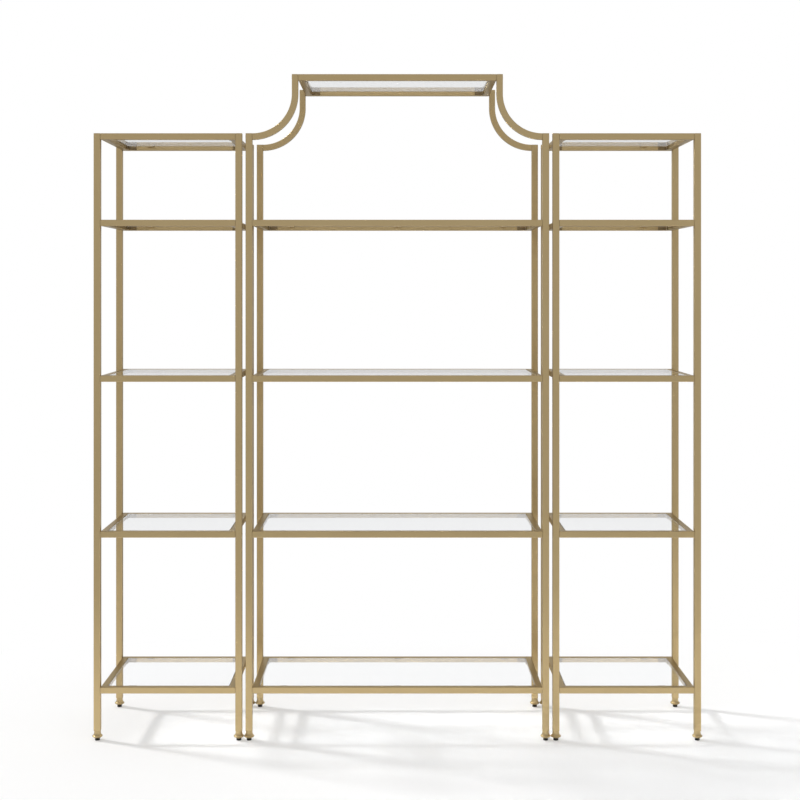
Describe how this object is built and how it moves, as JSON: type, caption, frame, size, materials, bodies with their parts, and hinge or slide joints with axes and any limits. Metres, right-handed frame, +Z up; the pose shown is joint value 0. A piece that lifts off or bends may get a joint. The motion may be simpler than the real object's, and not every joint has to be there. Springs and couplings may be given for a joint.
{
  "type": "etagere",
  "caption": "Metal and glass etagere: a wide unit with a raised crown on curved arms stands between narrow flat-topped units, on flared feet with levelling glides.",
  "frame": {"origin": "on the floor, under the middle of the set's bounding box", "axes": "+X along the set, to the viewer's right; +Y from the front to the back; +Z up"},
  "size_m": [1.8394, 0.3784, 2.007],
  "materials": {
    "gold_metal": "satin champagne gold on steel tube",
    "clear_glass": "clear tempered glass with polished edges",
    "black_nylon": "matt black nylon"
  },
  "bodies": {
    "units": {"left_post_front_left": "gold_metal", "left_post_front_right": "gold_metal", "left_post_back_left": "gold_metal", "left_post_back_right": "gold_metal", "left_shelf_frame_1": "gold_metal", "left_glass_shelf_1": "clear_glass", "left_shelf_frame_2": "gold_metal", "left_glass_shelf_2": "clear_glass", "left_shelf_frame_3": "gold_metal", "left_glass_shelf_3": "clear_glass", "left_shelf_frame_4": "gold_metal", "left_glass_shelf_4": "clear_glass", "left_shelf_frame_5": "gold_metal", "left_glass_shelf_5": "clear_glass", "right_post_front_left": "gold_metal", "right_post_front_right": "gold_metal", "right_post_back_left": "gold_metal", "right_post_back_right": "gold_metal", "right_shelf_frame_1": "gold_metal", "right_glass_shelf_1": "clear_glass", "right_shelf_frame_2": "gold_metal", "right_glass_shelf_2": "clear_glass", "right_shelf_frame_3": "gold_metal", "right_glass_shelf_3": "clear_glass", "right_shelf_frame_4": "gold_metal", "right_glass_shelf_4": "clear_glass", "right_shelf_frame_5": "gold_metal", "right_glass_shelf_5": "clear_glass", "centre_post_front_left": "gold_metal", "centre_post_front_right": "gold_metal", "centre_post_back_left": "gold_metal", "centre_post_back_right": "gold_metal", "centre_shelf_frame_1": "gold_metal", "centre_glass_shelf_1": "clear_glass", "centre_shelf_frame_2": "gold_metal", "centre_glass_shelf_2": "clear_glass", "centre_shelf_frame_3": "gold_metal", "centre_glass_shelf_3": "clear_glass", "centre_shelf_frame_4": "gold_metal", "centre_glass_shelf_4": "clear_glass", "centre_crown_arm_front_left": "gold_metal", "centre_crown_arm_front_right": "gold_metal", "centre_crown_arm_back_left": "gold_metal", "centre_crown_arm_back_right": "gold_metal", "centre_crown_frame": "gold_metal", "centre_crown_glass": "clear_glass"},
    "left_glide_front_left": {"left_glide_front_left": "black_nylon"},
    "left_glide_front_right": {"left_glide_front_right": "black_nylon"},
    "left_glide_back_left": {"left_glide_back_left": "black_nylon"},
    "left_glide_back_right": {"left_glide_back_right": "black_nylon"},
    "right_glide_front_left": {"right_glide_front_left": "black_nylon"},
    "right_glide_front_right": {"right_glide_front_right": "black_nylon"},
    "right_glide_back_left": {"right_glide_back_left": "black_nylon"},
    "right_glide_back_right": {"right_glide_back_right": "black_nylon"},
    "centre_glide_front_left": {"centre_glide_front_left": "black_nylon"},
    "centre_glide_front_right": {"centre_glide_front_right": "black_nylon"},
    "centre_glide_back_left": {"centre_glide_back_left": "black_nylon"},
    "centre_glide_back_right": {"centre_glide_back_right": "black_nylon"}
  },
  "joints": [
    {"name": "left_glide_front_left_screw", "type": "slide", "parent": "units", "child": "left_glide_front_left", "axis": [0, 0, -1], "range_m": [0, 0.008]},
    {"name": "left_glide_front_right_screw", "type": "slide", "parent": "units", "child": "left_glide_front_right", "axis": [0, 0, -1], "range_m": [0, 0.008]},
    {"name": "left_glide_back_left_screw", "type": "slide", "parent": "units", "child": "left_glide_back_left", "axis": [0, 0, -1], "range_m": [0, 0.008]},
    {"name": "left_glide_back_right_screw", "type": "slide", "parent": "units", "child": "left_glide_back_right", "axis": [0, 0, -1], "range_m": [0, 0.008]},
    {"name": "right_glide_front_left_screw", "type": "slide", "parent": "units", "child": "right_glide_front_left", "axis": [0, 0, -1], "range_m": [0, 0.008]},
    {"name": "right_glide_front_right_screw", "type": "slide", "parent": "units", "child": "right_glide_front_right", "axis": [0, 0, -1], "range_m": [0, 0.008]},
    {"name": "right_glide_back_left_screw", "type": "slide", "parent": "units", "child": "right_glide_back_left", "axis": [0, 0, -1], "range_m": [0, 0.008]},
    {"name": "right_glide_back_right_screw", "type": "slide", "parent": "units", "child": "right_glide_back_right", "axis": [0, 0, -1], "range_m": [0, 0.008]},
    {"name": "centre_glide_front_left_screw", "type": "slide", "parent": "units", "child": "centre_glide_front_left", "axis": [0, 0, -1], "range_m": [0, 0.008]},
    {"name": "centre_glide_front_right_screw", "type": "slide", "parent": "units", "child": "centre_glide_front_right", "axis": [0, 0, -1], "range_m": [0, 0.008]},
    {"name": "centre_glide_back_left_screw", "type": "slide", "parent": "units", "child": "centre_glide_back_left", "axis": [0, 0, -1], "range_m": [0, 0.008]},
    {"name": "centre_glide_back_right_screw", "type": "slide", "parent": "units", "child": "centre_glide_back_right", "axis": [0, 0, -1], "range_m": [0, 0.008]}
  ]
}
